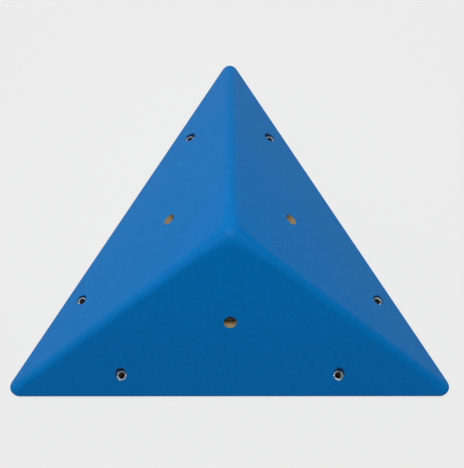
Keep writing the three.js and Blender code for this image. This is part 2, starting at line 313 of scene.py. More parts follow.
def planedPine():
    # Planed pine: soft yellow early wood with narrow darker rings, and fine fibres along the bar
    material, tree, shader = newMaterial("planedPine", **{"IOR": 1.52, "Roughness": pineLook["roughness"]})
    place = addNode(tree, "ShaderNodeAttribute", attribute_name=grainPlace).outputs["Vector"]
    piece = addNode(tree, "ShaderNodeObjectInfo").outputs["Random"]
    swing = addNode(tree, "ShaderNodeMath", {0: piece, 1: math.tau}, operation="MULTIPLY")
    turned = addNode(
        tree,
        "ShaderNodeVectorRotate",
        {"Vector": place, "Angle": swing.outputs[0]},
        rotation_type="X_AXIS",
    )
    moved = addNode(
        tree,
        "ShaderNodeVectorMath",
        {0: turned.outputs[0], 1: (0, pineLook["pith"] * mm, 0)},
        operation="ADD",
    )
    radiansPerUnit = 20  # how far the wave texture turns in each unit of its scale
    rings = addNode(
        tree,
        "ShaderNodeTexWave",
        {
            "Vector": moved.outputs[0],
            "Scale": math.tau / radiansPerUnit * perMetre(pineLook["ring"]),
            "Distortion": 1.6,
            "Detail": 2.0,
            "Detail Scale": 0.15,
        },
        wave_type="RINGS",
        rings_direction="X",
        wave_profile="SAW",
    )
    years = addNode(
        tree,
        "ShaderNodeValToRGB",
        {"Fac": rings.outputs["Fac"]},
        stops=[(0.55, pineLook["early"]), (0.96, pineLook["late"])],
    )
    along, across = perMetre(pineLook["fibreLength"]), perMetre(pineLook["fibreWidth"])
    fibres = fibreNoise(tree, moved.outputs[0], (along, across, across), 3.0)
    dark, light = pineLook["fibreShades"]
    shade = addNode(
        tree,
        "ShaderNodeMapRange",
        {"Value": fibres, "From Min": 0.3, "From Max": 0.7, "To Min": dark, "To Max": light},
    )
    wood = addNode(
        tree,
        "ShaderNodeVectorMath",
        {0: years.outputs["Color"], "Scale": shade.outputs[0]},
        operation="SCALE",
    )
    tree.links.new(wood.outputs[0], shader.inputs["Base Color"])
    grain = addNode(
        tree,
        "ShaderNodeBump",
        {"Height": fibres, "Distance": pineLook["grainDepth"] * mm, "Strength": 0.7},
    )
    tree.links.new(grain.outputs["Normal"], shader.inputs["Normal"])
    return material


brightZinc = {
    "colour": "#c0c4c2",
    "dull": "#969c9d",
    "cloud": 2.2,  # mm
    "scratchLength": 6,  # mm
    "scratchWidth": 0.12,  # mm
    "scratchDepth": 0.01,  # mm
    "roughness": (0.28, 0.46),
}

# A darker, bluer copy of the zinc for the washers deep in their counterbores: painted shade, with the blue
# of the painted walls round them as painted reflection
recessShadedZinc = {**brightZinc, "colour": "#7d8a96", "dull": "#4a5560", "roughness": (0.55, 0.75)}


def zincPlatedSteel(name, zincLook):
    # Stamped and turned steel, zinc plated: pale grey with a soft shine,
    # slightly cloudy, with fine handling marks
    material, tree, shader = newMaterial(name, Metallic=1.0)
    place = addNode(tree, "ShaderNodeTexCoord").outputs["Object"]
    cloud = addNode(
        tree,
        "ShaderNodeTexNoise",
        {"Vector": place, "Scale": perMetre(zincLook["cloud"]), "Detail": 3.0},
    )
    shade = addNode(
        tree,
        "ShaderNodeValToRGB",
        {"Fac": cloud.outputs["Fac"]},
        stops=[(0.35, zincLook["dull"]), (0.65, zincLook["colour"])],
    )
    tree.links.new(shade.outputs["Color"], shader.inputs["Base Color"])
    low, high = zincLook["roughness"]
    dullness = addNode(
        tree,
        "ShaderNodeMapRange",
        {"Value": cloud.outputs["Fac"], "From Min": 0.3, "From Max": 0.7, "To Min": high, "To Max": low},
    )
    tree.links.new(dullness.outputs[0], shader.inputs["Roughness"])
    along, across = perMetre(zincLook["scratchLength"]), perMetre(zincLook["scratchWidth"])
    scratches = fibreNoise(tree, place, (along, across, across), 2.0)
    marks = addNode(
        tree,
        "ShaderNodeBump",
        {"Height": scratches, "Distance": zincLook["scratchDepth"] * mm, "Strength": 0.5},
    )
    tree.links.new(marks.outputs["Normal"], shader.inputs["Normal"])
    return material


paint = sandedRollerPaint()
plywood = birchPlywood()
pine = planedPine()
zinc = zincPlatedSteel("zincPlatedSteel", brightZinc)
# The washers' zinc is darkened and tinted blue: painted shade and painted reflection
shadedWasherZinc = zincPlatedSteel("shadedRecessZincPlatedSteel", recessShadedZinc)
print("Materials made")


# Mesh tools


def addObject(name, data, matrix=None):
    added = bpy.data.objects.new(name, data)
    bpy.context.scene.collection.objects.link(added)
    if matrix is not None:
        added.matrix_world = matrix
    return added


def newPiece(name, points, faces, matrix=None):
    mesh = bpy.data.meshes.new(name)
    mesh.from_pydata([tuple(point) for point in points], [], faces)
    mesh.validate()
    return addObject(name, mesh, matrix)


def applyModifiers(piece):
    bpy.context.view_layer.update()
    graph = bpy.context.evaluated_depsgraph_get()
    shaped = bpy.data.meshes.new_from_object(piece.evaluated_get(graph))
    piece.modifiers.clear()
    piece.data = shaped


def combine(piece, tool, operation):
    boolean = piece.modifiers.new("combine", "BOOLEAN")
    boolean.operation = operation
    boolean.solver = "EXACT"
    boolean.object = tool
    applyModifiers(piece)
    bpy.data.objects.remove(tool)


def joinMeshes(name, pieces):
    whole = bmesh.new()
    for piece in pieces:
        part = piece.data.copy()
        part.transform(piece.matrix_world)
        whole.from_mesh(part)
        bpy.data.objects.remove(piece)
    mesh = bpy.data.meshes.new(name)
    whole.to_mesh(mesh)
    whole.free()
    return addObject(name, mesh)


def turnedPiece(name, rings, facets, matrix=None, swell=None):
    # A closed turned solid along Z; rings are (radius, height) pairs and swell adds to the radius
    points, faces = [], []
    for radius, height in rings:
        for step in range(facets):
            angle = math.tau * step / facets
            reach = radius + (swell(angle, height) if swell else 0)
            points.append((reach * math.cos(angle), reach * math.sin(angle), height))
    for ring in range(len(rings) - 1):
        for step in range(facets):
            a, b = ring * facets + step, ring * facets + (step + 1) % facets
            faces.append((a, b, b + facets, a + facets))
    faces.append(tuple(reversed(range(facets))))
    faces.append(tuple(range(len(points) - facets, len(points))))
    piece = newPiece(name, points, faces, matrix)
    shape = bmesh.new()
    shape.from_mesh(piece.data)
    bmesh.ops.recalc_face_normals(shape, faces=shape.faces)
    shape.to_mesh(piece.data)
    shape.free()
    return piece


def hullPiece(name, points, matrix=None):
    # The smallest solid without a hollow round the points
    shape = bmesh.new()
    for point in points:
        shape.verts.new(point)
    made = bmesh.ops.convex_hull(shape, input=shape.verts)
    bmesh.ops.delete(shape, geom=made["geom_interior"], context="VERTS")
    bmesh.ops.dissolve_limit(shape, angle_limit=math.radians(1), verts=shape.verts, edges=shape.edges)
    bmesh.ops.recalc_face_normals(shape, faces=shape.faces)
    mesh = bpy.data.meshes.new(name)
    shape.to_mesh(mesh)
    shape.free()
    return addObject(name, mesh, matrix)


def softenEdges(piece, width, steps=2, sharperThan=25):
    shape = bmesh.new()
    shape.from_mesh(piece.data)
    sharp = [e for e in shape.edges if e.is_manifold and e.calc_face_angle() > math.radians(sharperThan)]
    bmesh.ops.bevel(shape, geom=sharp, offset=width, segments=steps, profile=0.5, affect="EDGES")
    shape.to_mesh(piece.data)
    shape.free()


def keepGrainPlace(piece):
    # Moves the piece's mesh into the shared frame and keeps each point's place in its board
    mesh = piece.data
    kept = mesh.attributes.new(grainPlace, "FLOAT_VECTOR", "POINT")
    kept.data.foreach_set("vector", [value for point in mesh.vertices for value in point.co])
    mesh.transform(piece.matrix_world)
    piece.matrix_world = Matrix.Identity(4)


def shadeRound(piece, foldDegrees):
    # Rounds are shaded smooth, and a fold over this many degrees stays a crisp line
    piece.data.shade_smooth()
    piece.data.set_sharp_from_angle(angle=math.radians(foldDegrees))


largeFlat = (6 * mm) ** 2  # faces over this size are sawn or planed flats


def finishPiece(piece, material, node=None):
    keepGrainPlace(piece)
    piece.data.materials.clear()
    piece.data.materials.append(material)
    shadeRound(piece, foldDegrees=32)
    for polygon in piece.data.polygons:
        polygon.use_smooth = polygon.area < largeFlat
    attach(piece, "root")
    if node:
        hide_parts(node)


def placeSteel(node, model, matrix):
    piece = addObject(node + "_steel", model.data, matrix)
    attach(piece, "root")
    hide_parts(node)


# The outside: three faces whose ridges a ball rolls along, and a base outline with round corners

outside = {
    "coat": 0.35 * mm,  # paint thickness
    "skinShare": 0.96,  # of the coat that is drawn, so that it stays clear of the wood
    "raysPerHalf": 90,
    "rayCrowding": 1.7,  # draws the rays together at the ridges
    "rows": 58,
    "rowCrowding": 1.7,  # draws the rows together at the apex
    "lip": 4 * mm,  # strip along the base edge that runs square to it
    "lipRows": 3,
    "slopeSpan": (0.5 * mm, 3 * mm),  # from the base edge, where the face's slope is read
    "topEdge": 1.6 * mm,  # radius where the face turns down into the edge
    "topEdgeSteps": 6,
    "lowEdge": 0.6 * mm,
    "lowEdgeSteps": 3,
    "ballSteps": 80,
}


def ridgeLineHeight(reach, depth):
    # Where two faces that lie depth further in would meet, which is also where a ball's centre rolls
    return (faceDistance - depth - reach * ridgeOutward.dot(frontNormal)) / math.cos(slope)


def ridgeHeight(reach, across, depth):
    # The ball that rolls down the ridge, or near the apex the highest of the balls that shrink there
    ballRadius = volume["ridgeRadius"] - depth
    ridgeSlope = math.atan(ridgeFall)
    if abs(across) < ballRadius:
        rise = math.sqrt(ballRadius**2 - across**2)
        if reach - rise * math.sin(ridgeSlope) >= volume["apexRunOut"]:
            return ridgeLineHeight(reach, volume["ridgeRadius"]) + rise / math.cos(ridgeSlope)
    heights = []
    for step in range(outside["ballSteps"] + 1):
        share = step / outside["ballSteps"]
        ballReach = share * volume["apexRunOut"]
        radius = blend(volume["apexRadius"], volume["ridgeRadius"], share)
        left = (radius - depth) ** 2 - (reach - ballReach) ** 2 - across**2
        if left > 0:
            heights.append(ridgeLineHeight(ballReach, radius) + math.sqrt(left))
    return max(heights)


def outsideHeight(x, y, depth):
    # Height over a plan point of the front third, of the surface that lies depth below the outside
    reach = abs(x) * ridgeOutward.x + y * ridgeOutward.y
    across = abs(abs(x) * ridgeAcross.x + y * ridgeAcross.y)
    outwardShare, acrossShare = frontNormal.dot(ridgeOutward), abs(frontNormal.dot(ridgeAcross))
    apexBall, ridgeBall = volume["apexRadius"] - depth, volume["ridgeRadius"] - depth
    nearReach = apexBall * outwardShare
    farReach = volume["apexRunOut"] + ridgeBall * outwardShare
    if reach > nearReach:
        share = min(1, (reach - nearReach) / (farReach - nearReach))
        if across >= blend(apexBall, ridgeBall, share) * acrossShare:
            return (faceDistance - depth + y * math.sin(slope)) / math.cos(slope)
    return ridgeHeight(reach, across, depth)


cornerCentre = ridgeOutward * (circumradius - volume["cornerRadius"] / math.sin(halfCorner))
cornerStart = math.atan2(cornerCentre.x, inradius)


def edgePoint(angle):
    # The base outline in plan along a ray from the axis, and its outward direction there
    ray = Vector((math.sin(angle), -math.cos(angle), 0))
    if abs(angle) <= cornerStart:
        return ray * (inradius / math.cos(angle)), Vector((0, -1, 0))
    centre = Vector((math.copysign(cornerCentre.x, angle), cornerCentre.y, 0))
    along = ray.dot(centre)
    reach = along + math.sqrt(volume["cornerRadius"] ** 2 - centre.length_squared + along**2)
    return ray * reach, (ray * reach - centre).normalized()


def outsideProfile(angle, depth):
    # From next to the axis, out over the face, round the edge and down to the wall
    edge, outward = edgePoint(angle)
    edge = edge - outward * depth
    lip = edge - outward * outside["lip"]
    points = []
    for row in range(1, outside["rows"] + 1):
        plan = lip * (row / outside["rows"]) ** outside["rowCrowding"]
        points.append(plan.xy.to_3d() + alongZ * outsideHeight(plan.x, plan.y, depth))
    near, far = (edge - outward * span for span in outside["slopeSpan"])
    nearHeight = outsideHeight(near.x, near.y, depth)
    rise = (outsideHeight(far.x, far.y, depth) - nearHeight) / (far - near).length
    tilt = math.atan(rise)
    radius = outside["topEdge"] - depth
    centreHeight = nearHeight + rise * (radius - (near - edge).length) - radius / math.cos(tilt)
    touch = radius * (1 - math.sin(tilt))
    for row in range(1, outside["lipRows"]):
        plan = edge - outward * blend(outside["lip"], touch, row / outside["lipRows"])
        points.append(plan + alongZ * outsideHeight(plan.x, plan.y, depth))
    for step in range(outside["topEdgeSteps"] + 1):
        turn = (math.pi / 2 - tilt) * (1 - step / outside["topEdgeSteps"])
        inward = radius * (1 - math.cos(turn))
        points.append(edge - outward * inward + alongZ * (centreHeight + radius * math.sin(turn)))
    low = outside["lowEdge"]
    for step in range(outside["lowEdgeSteps"] + 1):
        turn = math.pi / 2 * step / outside["lowEdgeSteps"]
        points.append(edge - outward * low * (1 - math.cos(turn)) + alongZ * low * (1 - math.sin(turn)))
    return points


def thirdAngles():
    count = outside["raysPerHalf"]
    fromRidge = [(step / count) ** outside["rayCrowding"] * thirdTurn / 2 for step in range(count + 1)]
    left = [angle - thirdTurn / 2 for angle in fromRidge]
    return left + [-angle for angle in reversed(left[:-1])]


def sweptFaces(rays, size, closed=False):
    # Point 0 is the apex, and profiles of size points follow it: triangles round the apex, then strips
    faces = []
    for ray in range(rays if closed else rays - 1):
        here, there = 1 + ray * size, 1 + (ray + 1) % rays * size
        faces.append((0, here, there))
        for row in range(size - 1):
            faces.append((here + row, here + row + 1, there + row + 1, there + row))
    return faces


def panelPiece(name, third):
    # A third of the outside below the paint, with a flat back and flat mitres towards its neighbours
    depth = outside["coat"]
    profiles = [outsideProfile(angle, depth) for angle in thirdAngles()]
    backDistance = faceDistance - volume["panelThickness"]
    for angle, profile in zip(thirdAngles(), profiles):
        backReach = backDistance / math.sin(slope) / math.cos(angle)
        profile.append(Vector((math.sin(angle), -math.cos(angle), 0)) * backReach)
    size = len(profiles[0])
    top = Vector((0, 0, outsideHeight(0, 0, depth)))
    back = Vector((0, 0, backDistance / math.cos(slope)))
    points = [top] + [point for profile in profiles for point in profile] + [back]
    last = len(points) - 1
    faces = sweptFaces(len(profiles), size)
    for ray in range(len(profiles) - 1):
        end = size * (ray + 1)
        faces.append((end, last, end + size))
    faces.append((0, *range(1, size + 1), last))
    lastRay = 1 + size * (len(profiles) - 1)
    faces.append((0, last, *reversed(range(lastRay, lastRay + size))))
    local = faceMatrix.inverted()
    return newPiece(name, [local @ point for point in points], faces, thirdMatrix(third) @ faceMatrix)


def coatPiece(name):
    # One skin over all three panels
    points = [Vector((0, axisY, outsideHeight(0, 0, 0)))]
    angles = thirdAngles()[:-1]
    profiles = [outsideProfile(angle, 0) for angle in angles]
    size = len(profiles[0])
    for third in range(len(faceNames)):
        for profile in profiles:
            points += [thirdMatrix(third) @ point for point in profile]
    rays = len(angles) * len(faceNames)
    piece = newPiece(name, points, sweptFaces(rays, size, closed=True))
    skin = piece.modifiers.new("skin", "SOLIDIFY")
    skin.thickness = outside["coat"] * outside["skinShare"]
    skin.offset = -1
    skin.use_even_offset = True
    applyModifiers(piece)
    return piece


# Bores for hold bolts and counterbores for wall screws

hold = {
    "bore": 12.5 * mm,
    "riseShare": 0.46,  # of the way up from the base edge to the axis
    "panelDrill": (-20.2 * mm, 6 * mm),  # from and to, square to the face
    "padDrill": (-30 * mm, 0),
    "coatDrill": (-5 * mm, 5 * mm),
}
holdRise = hold["riseShare"] * inradius / math.cos(slope)

fixing = {
    "counterbore": 12.5 * mm,
    "lining": 0.6 * mm,  # paint that has built up on the counterbore's wall
    "liningBite": 0.1 * mm,  # how far that paint has soaked into the wood
    "passage": 6.8 * mm,
    "passageDrill": (-5 * mm, 30 * mm),  # from and to, square to the wall
    "panelDrillTop": 45 * mm,
    "coatDrillTop": 60 * mm,
    "coatDrillSink": 1 * mm,  # how far below the seat the drill through the lining ends
    "inset": 18.7 * mm,  # from the base edge, in plan
    "spacing": 218 * mm,
    "seatDepth": 9.2 * mm,  # below the face, on the bore's axis
}
seat = volume["edgeHeight"] + fixing["inset"] * math.tan(slope) - fixing["seatDepth"]

drillMarks = {
    "facets": 64,
    "pitch": 0.5 * mm,  # between the rings of a bore's wall
    "tear": 0.07 * mm,  # how far torn fibres widen the bore
    "tearSize": 1.6,  # mm
    "chip": 0.35 * mm,  # how far the paint has chipped back from the rim
    "chipSize": 2.4,  # mm
}


def drilledCutter(name, drills, matrix, seed):
    # One drill after another along Z, each (diameter, from, to)
    rings = []
    for diameter, low, high in drills:
        steps = max(1, round((high - low) / drillMarks["pitch"]))
        rings += [(diameter / 2, blend(low, high, step / steps)) for step in range(steps + 1)]

    def tear(angle, height):
        place = Vector((math.cos(angle), math.sin(angle), 0)) * hold["bore"] / 2 + alongZ * height
        return drillMarks["tear"] * noise.noise(place * perMetre(drillMarks["tearSize"]) + alongZ * seed)

    return turnedPiece(name, rings, drillMarks["facets"], matrix, tear)


def chippedCutter(name, diameter, low, high, matrix, seed):
    # Widens the paint's rim unevenly, as where it has chipped off
    def chip(angle, _height):
        place = Vector((math.cos(angle), math.sin(angle), seed)) * diameter / 2
        return drillMarks["chip"] * abs(noise.noise(place * perMetre(drillMarks["chipSize"])))

    rings = [(diameter / 2, low), (diameter / 2, high)]
    return turnedPiece(name, rings, drillMarks["facets"], matrix, chip)


def fixingMatrix(side):
    return Matrix.Translation((side * fixing["spacing"] / 2, fixing["inset"] - inradius, 0))


def liningPiece(name, side):
    # A plug of paint in the counterbore, from the seat up to just under the face
    radius = fixing["counterbore"] / 2 + fixing["liningBite"]
    underFace = volume["edgeHeight"] - outside["coat"] / 2 / math.cos(slope)
    points = []
    for step in range(drillMarks["facets"]):
        turn = math.tau * step / drillMarks["facets"]
        foot = fixingMatrix(side) @ Vector((radius * math.cos(turn), radius * math.sin(turn), seat))
        top = Vector((foot.x, foot.y, underFace + (foot.y + inradius) * math.tan(slope)))
        points += [foot, top]
    return hullPiece(name, points)


holdMatrix = faceMatrix @ Matrix.Translation((0, holdRise, 0))

for third, face in enumerate(faceNames):
    panel = panelPiece(f"panel_{face}_wood", third)
    here = thirdMatrix(third)
    tools = [drilledCutter("bore", [(hold["bore"], *hold["panelDrill"])], here @ holdMatrix, third)]
    drills = [
        (fixing["passage"], fixing["passageDrill"][0], seat),
        (fixing["counterbore"], seat, fixing["panelDrillTop"]),
    ]
    for side in (-1, 1):
        tools.append(drilledCutter("counterbore", drills, here @ fixingMatrix(side), third + side / 3))
    combine(panel, joinMeshes("tools", tools), "DIFFERENCE")
    finishPiece(panel, plywood, f"panel_{face}")
print("Panels made")

coat = coatPiece("paint_coat")
linings, tools = [], []
seedStep = 5  # keeps the torn and chipped rims of one face unlike those of the next
mouth = fixing["counterbore"] - 2 * fixing["lining"]
mouthDrill = (mouth, seat - fixing["coatDrillSink"], fixing["coatDrillTop"])
for third in range(len(faceNames)):
    here = thirdMatrix(third)
    seed = third * seedStep + 1
    tools.append(chippedCutter("bore", hold["bore"], *hold["coatDrill"], here @ holdMatrix, seed))
    for side in (-1, 1):
        lining = liningPiece("lining", side)
        lining.matrix_world = here
        linings.append(lining)
        tools.append(drilledCutter("bore", [mouthDrill], here @ fixingMatrix(side), seed + side + 2))
combine(coat, joinMeshes("linings", linings), "UNION")
combine(coat, joinMeshes("tools", tools), "DIFFERENCE")
finishPiece(coat, paint)
print("Paint made")


# Base rails and ridge battens

rail = {
    "height": 20 * mm,
    "inset": 50 * mm,  # from the base edge to the rail's inner side
    "arris": 0.7 * mm,
    "screwSpacing": 70 * mm,
    "screwLength": 35 * mm,
}

batten = {
    "thickness": 24 * mm,
    "top": 34 * mm,  # from the axis to the batten's upper end
    "arris": 0.7 * mm,
    "nearShares": (0.18, 0.52),  # where its screws sit along it, into the one panel
    "farShares": (0.35, 0.69),  # and into the other
    "screwLength": 32 * mm,
}

pad = {
    "side": 52 * mm,
    "thickness": 12 * mm,
    "corner": 8 * mm,
    "cornerSteps": 8,
    "arris": 0.5 * mm,
    "screwOffset": 19 * mm,
    "screwLength": 20 * mm,
}

screw = {
    "shank": 4 * mm,  # over the thread
    "core": 2.7 * mm,
    "head": 7.4 * mm,
    "headSoft": (0.15 * mm, 0.12 * mm),  # the rounding of the head's rim, inward and down
    "headRim": 0.3 * mm,  # from the head's top to the start of its cone
    "headDepth": 2.4 * mm,
    "neckInset": 0.2 * mm,  # how far the neck lies within the thread
    "plainInset": 0.35 * mm,
    "plainLength": 5 * mm,  # below the head, without thread
    "point": 4 * mm,
    "tip": 0.1 * mm,  # radius
    "pitch": 1.8 * mm,
    "crestShare": 0.24,  # half the crest's foot, as a share of the pitch
    "ringsPerTurn": 8,
    "facets": 24,
    "sink": 0.3 * mm,
    "holeFit": 0.3 * mm,
    "holeRise": 5 * mm,  # how far the drill that makes the hole starts above the head
    "recess": 4.4 * mm,
    "recessRise": 1 * mm,
    "recessDepth": 2.1 * mm,
    "bladeTop": 1.1 * mm,
    "bladeFoot": 0.6 * mm,
}


def insideReach(depth, height):
    # From the axis to the surface that lies depth below a face, at a height over the wall
    return (faceDistance - depth - height * math.cos(slope)) / math.sin(slope)


def ridgePoint(depth, reach):
    return ridgeOutward * reach + alongZ * ridgeLineHeight(reach, depth)


def countersunk(place, length):
    wide, narrow = screw["head"] / 2 + screw["holeFit"], screw["shank"] / 2 + screw["holeFit"]
    rings = [(wide, -screw["holeRise"]), (wide, 0), (narrow, screw["headDepth"]), (narrow, length)]
    return turnedPiece("countersink", rings, screw["facets"], place)


def railScrewPlaces():
    for step in (-1, 0, 1):
        y = rail["inset"] - inradius - screw["sink"]
        yield Vector((step * rail["screwSpacing"], y, rail["height"] / 2)), Vector((0, -1, 0))


def padScrewPlaces():
    back = -volume["panelThickness"] - volume["glueGap"] - pad["thickness"] + screw["sink"]
    for side in (-1, 1):
        yield faceMatrix @ Vector((side * pad["screwOffset"], holdRise, back)), frontNormal


def battenScrewPlaces():
    depth = volume["panelThickness"] + volume["glueGap"] + batten["thickness"] / 2
    lastReach = insideReach(depth, rail["height"]) / math.sin(halfCorner)
    for normal, shares in ((frontNormal, batten["nearShares"]), (rightNormal, batten["farShares"])):
        for share in shares:
            at = ridgePoint(depth, blend(batten["top"], lastReach, share))
            yield at + normal * (screw["sink"] - batten["thickness"] / 2), normal


def railPiece(name, third):
    behind = volume["panelThickness"] + volume["glueGap"]
    section = [
        (-insideReach(behind, 0), 0),
        (rail["inset"] - inradius, 0),
        (rail["inset"] - inradius, rail["height"]),
        (-insideReach(behind, rail["height"]), rail["height"]),
    ]
    tip = volume["glueGap"] / 2 / math.sin(thirdTurn / 2)
    points = []
    for y, z in section:
        halfLength = (-y - tip) * math.tan(thirdTurn / 2)
        points += [(-halfLength, y, z), (halfLength, y, z)]
    here = thirdMatrix(third)
    piece = hullPiece(name, points, here)
    softenEdges(piece, rail["arris"])
    tools = [countersunk(here @ aimMatrix(*place), rail["screwLength"]) for place in railScrewPlaces()]
    passage = (fixing["passage"], *fixing["passageDrill"])
    for side in (-1, 1):
        tools.append(drilledCutter("passage", [passage], here @ fixingMatrix(side), third + side / 3))
    combine(piece, joinMeshes("tools", tools), "DIFFERENCE")
    return piece


def battenPiece(name, third):
    side = batten["thickness"] / math.sin(2 * halfFold)  # of the rhombus that fits between two panels
    halfWidth, halfHeight = side * math.cos(halfFold), side * math.sin(halfFold)
    corner = ridgePoint(volume["panelThickness"] + volume["glueGap"], batten["top"])
    floor = rail["height"] + volume["glueGap"]
    points = []
    for across, down in ((0, 0), (-halfWidth, halfHeight), (0, 2 * halfHeight), (halfWidth, halfHeight)):
        start = corner + ridgeAcross * across - ridgeUp * down
        points += [start, start + ridgeDown * ((floor - start.z) / ridgeDown.z)]
    frameOfBatten = Matrix((ridgeDown, ridgeAcross, ridgeDown.cross(ridgeAcross))).transposed().to_4x4()
    local = Matrix.Translation(corner) @ frameOfBatten
    here = thirdMatrix(third)
    piece = hullPiece(name, [local.inverted() @ point for point in points], here @ local)
    softenEdges(piece, batten["arris"])
    tools = [countersunk(here @ aimMatrix(*place), batten["screwLength"]) for place in battenScrewPlaces()]
    combine(piece, joinMeshes("tools", tools), "DIFFERENCE")
    return piece


def padPiece(name, third):
    half, corner = pad["side"] / 2, pad["corner"]
    points = []
    for quarter in range(4):
        for step in range(pad["cornerSteps"] + 1):
            turn = math.pi / 2 * (quarter + step / pad["cornerSteps"])
            centre = Vector((1, 1)) @ Matrix.Rotation(-quarter * math.pi / 2, 2) * (half - corner)
            for z in (0, -pad["thickness"]):
                points.append((centre.x + corner * math.cos(turn), centre.y + corner * math.sin(turn), z))
    here = thirdMatrix(third)
    front = volume["panelThickness"] + volume["glueGap"]
    piece = hullPiece(name, points, here @ holdMatrix @ Matrix.Translation((0, 0, -front)))
    softenEdges(piece, pad["arris"], sharperThan=60)
    tools = [countersunk(here @ aimMatrix(*place), pad["screwLength"]) for place in padScrewPlaces()]
    tools.append(drilledCutter("bore", [(hold["bore"], *hold["padDrill"])], here @ holdMatrix, third + 0.5))
    combine(piece, joinMeshes("tools", tools), "DIFFERENCE")
    return piece


for third, face in enumerate(faceNames):
    finishPiece(railPiece(f"base_rail_{face}_bar", third), pine, f"base_rail_{face}")
    ridge = f"ridge_batten_{ridgeName(third)}"
    finishPiece(battenPiece(f"{ridge}_bar", third), pine, ridge)
    plate = padPiece(f"tee_nut_pad_{face}_plate", third)
    finishPiece(plate, plywood, f"tee_nut_pad_{face}")
print("Rails, battens and pads made")


# Screws


def screwPiece(name, length):
    # Countersunk wood screw: its head's top lies at the origin and it points along Z
    softInward, softDown = screw["headSoft"]
    rings = [
        (screw["head"] / 2 - softInward, 0),
        (screw["head"] / 2, softDown),
        (screw["head"] / 2, screw["headRim"]),
        (screw["shank"] / 2 - screw["neckInset"], screw["headDepth"]),
    ]
    threadStart = screw["headDepth"] + screw["plainLength"]
    turnRise = screw["pitch"] / screw["ringsPerTurn"]
    count = round((length - threadStart) / turnRise)
    core = screw["core"] / 2
    rings.append((screw["shank"] / 2 - screw["plainInset"], threadStart - turnRise))
    for step in range(count + 1):
        height = blend(threadStart, length, step / count)
        taper = min(1, (length - height) / screw["point"])
        rings.append((blend(screw["tip"], core, taper), height))

    def crest(angle, height):
        if height < threadStart:
            return 0
        phase = (height / screw["pitch"] - angle / math.tau) % 1
        taper = min(1, (length - height) / screw["point"], (height - threadStart) / screw["pitch"])
        return (screw["shank"] / 2 - core) * taper * max(0, 1 - abs(phase - 0.5) / screw["crestShare"])

    piece = turnedPiece(name, rings, screw["facets"], swell=crest)
    blade = (
        (-screw["recessRise"], screw["recess"] / 2, screw["bladeTop"] / 2),
        (screw["recessDepth"], screw["bladeFoot"], screw["bladeFoot"] / 2),
    )
    for turn in (0, math.pi / 2):
        points = []
        for z, halfWide, halfThick in blade:
            points += [(x * halfWide, y * halfThick, z) for x in (-1, 1) for y in (-1, 1)]
        combine(piece, hullPiece("blade", points, Matrix.Rotation(turn, 4, "Z")), "DIFFERENCE")
    piece.data.materials.append(zinc)
    shadeRound(piece, foldDegrees=40)
    return piece


screwSets = [
    ("rail_screw", rail["screwLength"], railScrewPlaces),
    ("pad_screw", pad["screwLength"], padScrewPlaces),
    ("batten_screw", batten["screwLength"], battenScrewPlaces),
]
for kind, length, places in screwSets:
    model = screwPiece(f"{kind}_model", length)
    for third, face in enumerate(faceNames):
        owner = ridgeName(third) if kind == "batten_screw" else face
        for i, (at, towards) in enumerate(places()):
            matrix = thirdMatrix(third) @ aimMatrix(at, towards, random.uniform(0, math.tau))
            placeSteel(f"{kind}_{owner}_{i + 1}", model, matrix)
    bpy.data.objects.remove(model)
print("Screws made")


# Tee nuts and washers

teeNut = {
    "barrel": 11.8 * mm,
    "barrelLength": 11 * mm,
    "barrelFacets": 64,
    "barrelChamfer": 0.3 * mm,
    "threadMajor": 10.1 * mm,
    "threadMinor": 8.6 * mm,
    "threadRunOut": 1 * mm,
    "threadFacets": 48,
    "pitch": 1.5 * mm,
    "crestFlat": 1.15,  # over 1, the groove's floor is flat
    "grooveShare": 0.42,  # half the groove's mouth, as a share of the pitch
    "ringsPerTurn": 8,
    "chamfer": 0.8 * mm,
    "chamferRuns": (0.1 * mm, 0.3 * mm, 0.4 * mm),  # its drill's overrun inward, sideways and out
    "flange": 26 * mm,
    "flangeSteps": 72,
    "flats": 21.6 * mm,
    "flangeThickness": 1.6 * mm,
    "fold": 0.5 * mm,
    "prongWidth": 5.5 * mm,
    "prongLength": 7 * mm,
    "prongShares": (0.5, 1.6),  # of the flange's thickness, between which the prong is full
    "prongInset": 0.05 * mm,  # behind the flange's flat
    "prongTip": 0.2 * mm,
}

washer = {
    "outside": 11.1 * mm,  # clears the paint on the counterbore's wall
    "inside": 6.4 * mm,
    "thickness": 1.6 * mm,
    "soft": 0.35 * mm,
    "facets": 72,
}

midArcShare = 0.3  # how far from the corner a small quarter round passes, as a share of its radius


